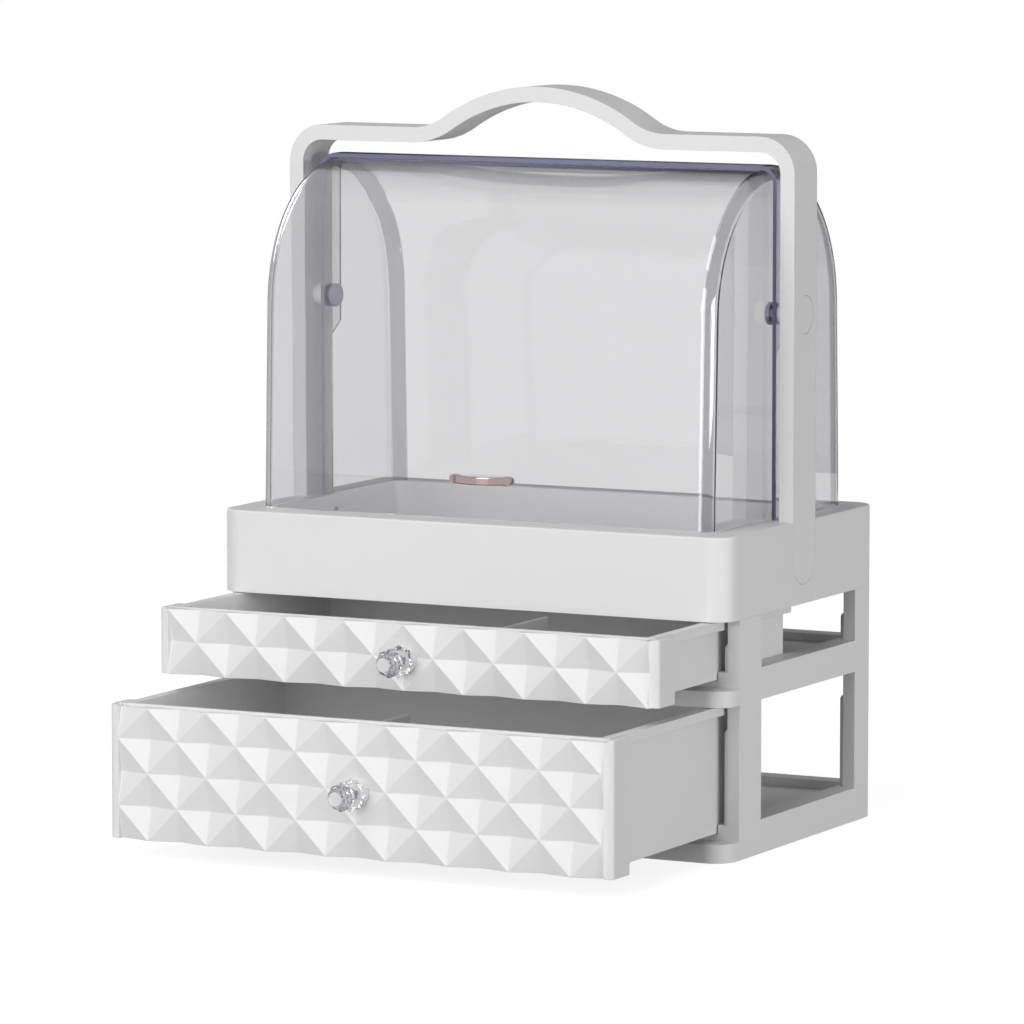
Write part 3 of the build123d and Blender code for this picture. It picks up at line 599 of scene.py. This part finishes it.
def closed_volume(piece):
    """A mesh's volume in cubic millimetres and how many of its edges are open.

    The volume is above nought where the faces point outwards.
    """
    shape = bmesh.new()
    shape.from_mesh(piece.data)
    volume = shape.calc_volume(signed=True) / MM**3
    open_edges = sum(1 for edge in shape.edges if len(edge.link_faces) != 2)
    shape.free()
    return round(volume), open_edges


trial = bmesh.new()
raise_outline(trial, [(0.0, 0.0), (2.0, 0.0), (2.0, 1.0), (0.0, 1.0)], 0.0, 3.0)
print("a trial bar of 2 by 1 by 3 holds", trial.calc_volume(signed=True))
trial.free()

# %% [markdown]
# These are the fronts' sizes, as the photograph shows them at the organizer's real size. Both
# drawers have the same facets, in two rows above and four below.

# %% Sizes of the fronts
columns = 16
rows = {"upper": 2, "lower": 4}
ridge_out = 2.0 * MM
valley_in = 2.4 * MM
panel_skin = 5.5 * MM
# The facets stop this far below the top of the ends
top_trim = {"upper": 0.5 * MM, "lower": 1.1 * MM}
# The border and the end's rounded corner together
panel_border = 6.2 * MM
corner_radius = 2.5 * MM
corner_steps = 6
return_thickness = 4.5 * MM
# The end runs in under the border, and lies a little deeper there, so that no two faces coincide
end_overlap = 0.8 * MM
end_lean = 0.02 * MM
ledge_height = {"upper": 3.7 * MM, "lower": 3.1 * MM}
seat_radius = 7.5 * MM
seat_sides = 48
# The knob sits this far below the middle
knob_drop = 1.6 * MM
# The real bevels round whatever turns by more than this angle
bevel_width = 0.3 * MM
bevel_above = math.radians(20)
print("the faceted fields have", {name: columns * count for name, count in rows.items()}, "cells")


# %% Ends, ledge and knob seat
def end_outline(high, face):
    """The right end seen from above: rounded in front, and turned back beside the drawer."""
    turns = [math.radians(90 / corner_steps * step) for step in range(corner_steps + 1)]
    corner = [
        (high.x - corner_radius * (1 - math.sin(a)), face + corner_radius * (1 - math.cos(a)))
        for a in turns
    ]
    inner = high.x - corner_radius - end_overlap
    back = face + panel_skin
    return [
        (inner, face + end_lean),
        *corner,
        (high.x, high.y),
        (high.x - return_thickness, high.y),
        (high.x - return_thickness, back),
        (inner, back),
    ]


def add_trim(shape, name, low, high, face):
    """Add the two ends, the ledge under the drawer and the knob's seat to a front's mesh."""
    end = end_outline(high, face)
    raise_outline(shape, end, low.z, high.z)
    raise_outline(shape, [(-x, y) for x, y in end[::-1]], low.z, high.z)
    half_ledge = high.x - return_thickness
    back = face + panel_skin
    ledge = [(-half_ledge, back), (half_ledge, back), (half_ledge, high.y), (-half_ledge, high.y)]
    raise_outline(shape, ledge, low.z, low.z + ledge_height[name])
    seat = bmesh.ops.create_cone(
        shape,
        cap_ends=True,
        segments=seat_sides,
        radius1=seat_radius,
        radius2=seat_radius,
        depth=panel_skin,
    )["verts"]
    seat_z = (low.z + high.z) / 2 - knob_drop
    for vertex in seat:
        x, y, z = vertex.co
        vertex.co = (x, low.y + panel_skin / 2 - z, seat_z + y)


print("an end's corner takes", corner_steps, "steps")

# %% [markdown]
# Each front takes its place and its outer size from the CAD front's own corners.

# %% Drawer fronts
for name in ("upper", "lower"):
    low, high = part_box(f"{name}_drawer_front")
    face = low.y + ridge_out
    front_piece = grow(
        facets,
        f"{name}_drawer_front_facets",
        {
            "Columns": columns,
            "Rows": rows[name],
            "Width": 2 * (high.x - panel_border),
            "Height": high.z - low.z,
            "Ridge": ridge_out,
            "Valley": valley_in,
            "Skin": panel_skin,
            "Border": panel_border - corner_radius,
            "Trim": top_trim[name],
            "Centre": (0.0, face, (low.z + high.z) / 2),
            "Finish": front_abs_painted_light,
        },
    )
    print("field volume and open edges", closed_volume(front_piece))
    shape = bmesh.new()
    shape.from_mesh(front_piece.data)
    add_trim(shape, name, low, high, face)
    shape.to_mesh(front_piece.data)
    shape.free()
    bevel = front_piece.modifiers.new("edge", "BEVEL")
    bevel.width = bevel_width
    bevel.segments = 2
    bevel.limit_method = "ANGLE"
    bevel.angle_limit = bevel_above
    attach(front_piece, f"{name}_drawer")
    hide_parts(f"{name}_drawer_front")
    print(name, "front", closed_volume(front_piece))

# %% [markdown]
# ## Cut knobs
# The knobs are clear acrylic, cut like a flower and a gem: a foot, a whorl of eight petals, a neck,
# and an eight-sided head whose slanting facets end in a flat table. Each cross-section has sixteen
# corners that alternate between two radii, which makes a star for the petals and an octagon for the
# head. So a tree sweeps sixteen corners along a line and then sets each corner's radius. Where the
# octagon turns by half a side from one section to the next, its facets become triangles.

# %% Sections of the knob
petals = 8
# Each section is how far out it lies, as a share of the knob's length, and its even and its odd
# corners' radii, as shares of the knob's radius
sections = [
    (0.000, 0.60, 0.60),
    (0.100, 0.60, 0.60),
    (0.170, 0.99, 0.79),
    (0.260, 0.99, 0.79),
    (0.360, 0.52, 0.52),
    (0.500, 0.46, 0.46),
    (0.650, 0.86, 0.795),
    (0.730, 0.86, 0.795),
    (0.870, 0.64, 0.68),
    (1.000, 0.44, 0.41),
]
knob_tree, sizes = new_tree(
    "cut_knob",
    {
        "Petals": int,
        "Radius": float,
        "Length": float,
        "Base": Vector,
        "Finish": bpy.types.Material,
    },
)
print("a knob has", len(sections), "sections of", 2 * petals, "corners")

# %% [markdown]
# A circle with two corners for each petal is swept along a line that has one point for each
# section. That makes a plain tube whose corners can be told apart by their number.

# %% Plain tube
line = add(knob_tree, "GeometryNodeCurvePrimitiveLine", inputs={"End": (0.0, -1.0, 0.0)})
stops = add(
    knob_tree,
    "GeometryNodeResampleCurve",
    {"mode": "COUNT"},
    {"Curve": line, "Count": len(sections)},
)
corners = add(
    knob_tree, "ShaderNodeMath", {"operation": "MULTIPLY"}, {0: sizes["Petals"], 1: 2.0}
)
ring = add(
    knob_tree,
    "GeometryNodeCurvePrimitiveCircle",
    inputs={"Resolution": corners, "Radius": sizes["Radius"]},
)
tube = add(
    knob_tree,
    "GeometryNodeCurveToMesh",
    inputs={"Curve": stops, "Profile Curve": ring, "Fill Caps": True},
)
number = add(knob_tree, "GeometryNodeInputIndex")
odd = add(knob_tree, "ShaderNodeMath", {"operation": "MODULO"}, {0: number, 1: 2.0})
ring_share = add(knob_tree, "ShaderNodeMath", {"operation": "DIVIDE"}, {0: number, 1: corners})
ring_number = add(knob_tree, "ShaderNodeMath", {"operation": "FLOOR"}, {0: ring_share})
print("knob tree has", len(knob_tree.nodes), "nodes so far")

# %% [markdown]
# An Index Switch looks up the section that a corner belongs to. There is one for each column of the
# list above: the place, the even radius and the odd radius.

# %% Look up a corner's section
chosen = []
for column in zip(*sections):
    pick = add(knob_tree, "GeometryNodeIndexSwitch", {"data_type": "FLOAT"})
    while len(pick.index_switch_items) < len(sections):
        pick.index_switch_items.new()
    knob_tree.links.new(ring_number.outputs[0], pick.inputs["Index"])
    for section, value in enumerate(column):
        pick.inputs[section + 1].default_value = value
    chosen.append(pick)
share_along, even_radius, odd_radius = chosen
radius_share = add(
    knob_tree,
    "ShaderNodeMix",
    {"data_type": "FLOAT"},
    {"Factor": odd, "A": even_radius, "B": odd_radius},
)
print("looked up", len(chosen), "values of each corner")

# %% [markdown]
# Each corner then moves to its section's place and radius. The knob points to the front, so the way
# out is minus Y.

# %% Cut the tube
reach = add(
    knob_tree, "ShaderNodeMath", {"operation": "MULTIPLY"}, {0: share_along, 1: sizes["Length"]}
)
away = add(knob_tree, "ShaderNodeMath", {"operation": "MULTIPLY"}, {0: reach, 1: -1.0})
spot = add(
    knob_tree, "ShaderNodeSeparateXYZ", inputs={0: add(knob_tree, "GeometryNodeInputPosition")}
).outputs
cut_x = add(
    knob_tree, "ShaderNodeMath", {"operation": "MULTIPLY"}, {0: spot["X"], 1: radius_share}
)
cut_z = add(
    knob_tree, "ShaderNodeMath", {"operation": "MULTIPLY"}, {0: spot["Z"], 1: radius_share}
)
cut_place = add(
    knob_tree, "ShaderNodeCombineXYZ", inputs={"X": cut_x, "Y": away, "Z": cut_z}
)
cut = add(
    knob_tree, "GeometryNodeSetPosition", inputs={"Geometry": tube, "Position": cut_place}
)
at_base = add(
    knob_tree, "GeometryNodeTransform", inputs={"Geometry": cut, "Translation": sizes["Base"]}
)
close_tree(knob_tree, at_base, sizes["Finish"])

# %% [markdown]
# The crown, which is the slanting ring of the head, looks darker than the rest, so its faces get a
# greyer acrylic, which is painted shade, and the table at its end gets the satin one, whose pale
# colour is painted light. A face is known by how far out its middle lies.

# %% Knobs
crown_from = 0.74
table_from = 0.99
for name in ("upper", "lower"):
    low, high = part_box(f"{name}_knob")
    knob = grow(
        knob_tree,
        f"{name}_cut_knob",
        {
            "Petals": petals,
            "Radius": (high.z - low.z) / 2,
            "Length": high.y - low.y,
            "Base": ((low.x + high.x) / 2, high.y, (low.z + high.z) / 2),
            "Finish": knob_acrylic,
        },
    )
    # The crown's greyer acrylic is painted shade, and the table's pale satin is painted light
    knob.data.materials.append(crown_acrylic_painted_shade)
    knob.data.materials.append(knob_table_painted_light)
    shape = bmesh.new()
    shape.from_mesh(knob.data)
    bmesh.ops.triangulate(shape, faces=[face for face in shape.faces if len(face.verts) == 4])
    bmesh.ops.recalc_face_normals(shape, faces=shape.faces)
    for face in shape.faces:
        share_out = (high.y - face.calc_center_median().y) / (high.y - low.y)
        if share_out > table_from:
            face.material_index = 2
        elif share_out > crown_from:
            face.material_index = 1
    shape.to_mesh(knob.data)
    shape.free()
    knob.data.shade_flat()
    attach(knob, f"{name}_drawer")
    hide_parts(f"{name}_knob")
    print(name, "knob", closed_volume(knob))

# %% [markdown]
# ## Covers
# The covers keep the shape of their CAD solids. Each piece is a copy of the solid with its loose
# triangles sewn together, so that the round walls can be shaded smooth. Large faces count for more
# than small ones there, which keeps the flat walls flat beside their fillets. The faces of the
# mouth, which all lie in one plane, get the satin rim with its painted light. A fillet's faces are
# known by their direction: they face partly sideways, and they get the darker tint of painted
# shade.

# %% Covers with satin rims
weld_distance = 0.005 * MM
rim_tolerance = 0.05 * MM
# How far sideways a fillet's face looks, where 0 is not at all and 1 is fully
fillet_least = 0.15
fillet_most = 0.97
smooth_below = math.radians(35)


def dressed_cover(name, body, rim_plane):
    """A clear cover made from its CAD node, with its rim at this Y."""
    node = frame["nodes"][name]
    cover = bpy.data.objects.new(f"{name}_clear", node.data.copy())
    cover.data.transform(node.matrix_world)
    cover.data.materials.append(cover_rim_painted_light)
    cover.data.materials.append(cover_fillet_painted_shade)
    bpy.context.scene.collection.objects.link(cover)
    shape = bmesh.new()
    shape.from_mesh(cover.data)
    bmesh.ops.remove_doubles(shape, verts=shape.verts, dist=weld_distance)
    counts = [0, 0, 0]
    for face in shape.faces:
        # The mouth's faces get the rim's violet, which is painted light
        if abs(face.calc_center_median().y - rim_plane) < rim_tolerance:
            face.material_index = 1
        # Fillet faces get the darker tint, which is painted shade
        elif fillet_least < abs(face.normal.x) < fillet_most:
            face.material_index = 2
        counts[face.material_index] += 1
    shape.to_mesh(cover.data)
    shape.free()
    cover.data.shade_smooth()
    cover.data.set_sharp_from_angle(angle=smooth_below)
    even = cover.modifiers.new("even shading", "WEIGHTED_NORMAL")
    even.mode = "FACE_AREA"
    even.weight = 100
    even.keep_sharp = True
    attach(cover, body)
    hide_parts(name)
    print(name, "has wall, rim and fillet faces", counts, "and volume", closed_volume(cover))


dressed_cover("rear_cover", "main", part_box("rear_cover")[0].y)
dressed_cover("front_cover", "front_cover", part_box("front_cover")[1].y)

# %% [markdown]
# ## Floor and light
# The organizer stands on a plain studio floor. For the camera, for reflections and for what is seen
# through the covers, the floor is lifted to white. To all other light it is a grey floor, so little
# light comes back up from it, and the facets that face down stay darker than those that face up.
# The Light Path node tells the two apart. The background needs the same, so a function makes it.


# %% What the eye sees
def seen_directly(tree):
    """One where the eye looks, also in a reflection or through a clear piece, and else nought."""
    path = add(tree, "ShaderNodeLightPath").outputs
    first = add(
        tree,
        "ShaderNodeMath",
        {"operation": "MAXIMUM"},
        {0: path["Is Camera Ray"], 1: path["Is Glossy Ray"]},
    )
    any_of_them = add(
        tree,
        "ShaderNodeMath",
        {"operation": "MAXIMUM"},
        {0: first, 1: path["Is Transmission Ray"]},
    )
    not_scattered = add(
        tree, "ShaderNodeMath", {"operation": "LESS_THAN"}, {0: path["Diffuse Depth"], 1: 0.5}
    )
    return add(
        tree, "ShaderNodeMath", {"operation": "MULTIPLY"}, {0: any_of_them, 1: not_scattered}
    )


def stage_sheet(name, sheet_corners, finish):
    """A flat sheet that stands in the studio and isn't a piece of the organizer."""
    shape = bmesh.new()
    shape.faces.new([shape.verts.new(corner) for corner in sheet_corners])
    mesh = bpy.data.meshes.new(name)
    shape.to_mesh(mesh)
    shape.free()
    mesh.materials.append(finish)
    sheet = bpy.data.objects.new(name, mesh)
    bpy.context.scene.collection.objects.link(sheet)
    print(name, "has its corners at", sheet_corners)
    return sheet


# %% [markdown]
# Near the organizer a part of the floor's white is real light on grey paint, so the floor keeps its
# shadow. Further off it is plain white, and it turns from one to the other over these distances
# from the middle.

# %% Floor
floor_half = 9.0
paint_until = 0.4
white_from = 1.2
near_lift = 0.86
floor_paint, tree = new_material("floor_paint")
plain = add(tree, "ShaderNodeBsdfDiffuse", inputs={"Color": linear("#959595")})
shaded = add(tree, "ShaderNodeBsdfDiffuse", inputs={"Color": linear("#A0A0A0")})
from_middle = add(
    tree,
    "ShaderNodeVectorMath",
    {"operation": "LENGTH"},
    {0: add(tree, "ShaderNodeTexCoord").outputs["Object"]},
)
far_off = add(
    tree,
    "ShaderNodeMapRange",
    inputs={
        "Value": from_middle.outputs["Value"],
        "From Min": paint_until,
        "From Max": white_from,
    },
)
lift = add(
    tree, "ShaderNodeEmission", inputs={"Color": linear("#FFFFFF"), "Strength": near_lift}
)
near = add(tree, "ShaderNodeAddShader", inputs={0: shaded, 1: lift})
white = add(tree, "ShaderNodeEmission", inputs={"Color": linear("#FFFFFF"), "Strength": 1.0})
lifted = add(tree, "ShaderNodeMixShader", inputs={0: far_off, 1: near, 2: white})
either = add(tree, "ShaderNodeMixShader", inputs={0: seen_directly(tree), 1: plain, 2: lifted})
add(tree, "ShaderNodeOutputMaterial", inputs={"Surface": either})
floor_corners = [
    (-floor_half, -floor_half, 0.0),
    (floor_half, -floor_half, 0.0),
    (floor_half, floor_half, 0.0),
    (-floor_half, floor_half, 0.0),
]
floor = stage_sheet("floor", floor_corners, floor_paint)
print("the floor is", 2 * floor_half, "m wide")

# %% [markdown]
# The world is the rest of the studio. It gives a weak, even light from all round, which fills the
# shadows, and the eye sees it as plain white.

# %% World
fill_strength = 0.24
world = bpy.data.worlds.new("studio")
bpy.context.scene.world = world
world.use_nodes = True
tree = world.node_tree
tree.nodes.clear()
fill = add(
    tree,
    "ShaderNodeBackground",
    inputs={"Color": linear("#FFFFFF"), "Strength": fill_strength},
)
white = add(tree, "ShaderNodeBackground", inputs={"Color": linear("#FFFFFF"), "Strength": 1.0})
either = add(tree, "ShaderNodeMixShader", inputs={0: seen_directly(tree), 1: fill, 2: white})
add(tree, "ShaderNodeOutputWorld", inputs={"Surface": either})
print("the world fills with", fill_strength, "of white")

# %% [markdown]
# Clear plastic on a white ground needs something dark to show its edges, as a photographer of glass
# knows. A dark card stands behind the organizer. It is seen in reflections only, so the walls that
# one looks along, and the rounded rims, go darker, while the background stays white.

# %% Dark card
card_left, card_right = -2.0, 1.5
card_foot, card_head = 0.02, 1.7
card_behind = 1.6
card_paper, tree = new_material("dark_paper")
paper = add(tree, "ShaderNodeBsdfDiffuse", inputs={"Color": linear("#404044")})
add(tree, "ShaderNodeOutputMaterial", inputs={"Surface": paper})
card_corners = [
    (card_left, card_behind, card_foot),
    (card_right, card_behind, card_foot),
    (card_right, card_behind, card_head),
    (card_left, card_behind, card_head),
]
card = stage_sheet("dark_card", card_corners, card_paper)
card.visible_camera = False
card.visible_diffuse = False
card.visible_transmission = False
card.visible_shadow = False
print("the card stands", card_behind, "m behind the organizer's middle")

# %% [markdown]
# The light comes from four large soft boxes that all look at the organizer's middle. The main one
# stands in front and only a little above the organizer, so the fronts are the lightest. One high in
# front lifts the facets that face up. A long, low one on the right keeps the sides from going dull.
# It is so low that it doesn't shine into the drawers. A fourth stands behind on the left, so that
# the back and the left side are lit as well. It gives no reflections, because a bright line on the
# covers' left edge would lighten an outline that is dark on the real ones.

# %% Soft boxes
light_aim = Vector((0.0, -0.1, 0.2))


def soft_box(name, place, width, height, power):
    """A rectangular lamp at this place, with its size in metres and its power in watts."""
    data = bpy.data.lights.new(name, "AREA")
    data.shape = "RECTANGLE"
    data.size = width
    data.size_y = height
    data.energy = power
    lamp = bpy.data.objects.new(name, data)
    lamp.location = place
    lamp.rotation_euler = (light_aim - Vector(place)).to_track_quat("-Z", "Y").to_euler()
    bpy.context.scene.collection.objects.link(lamp)
    print(name, "at", place, "with", power, "W")
    return lamp


soft_box("front", (-0.25, -2.30, 0.58), 1.3, 1.2, 24.0)
soft_box("top", (-0.36, -1.90, 2.57), 1.4, 1.4, 28.0)
soft_box("right_side", (2.92, -0.70, 0.34), 1.6, 0.6, 34.0)
left_back = soft_box("left_back", (-2.20, 1.60, 0.95), 1.5, 0.8, 26.0)
left_back.visible_camera = False
left_back.visible_glossy = False

# %% [markdown]
# ## Camera
# The camera stands far off behind a long lens, 27 degrees to the right of the front and a little
# above the organizer. Its place, its angles and its lens were found by matching the photograph's
# perspective.

# %% Camera
azimuth = math.radians(27.207)
elevation = math.radians(6.449)
camera_data = bpy.data.cameras.new("camera")
camera_data.sensor_width = 36.0
camera_data.lens = 228.38
camera_data.clip_end = 50.0
camera = bpy.data.objects.new("camera", camera_data)
camera.location = (1.6656, -3.2863, 0.5933)
camera.rotation_euler = (math.pi / 2 - elevation, 0.0, azimuth)
bpy.context.scene.collection.objects.link(camera)
bpy.context.scene.camera = camera
bpy.context.scene.view_settings.view_transform = "Standard"
print("camera at", tuple(camera.location))
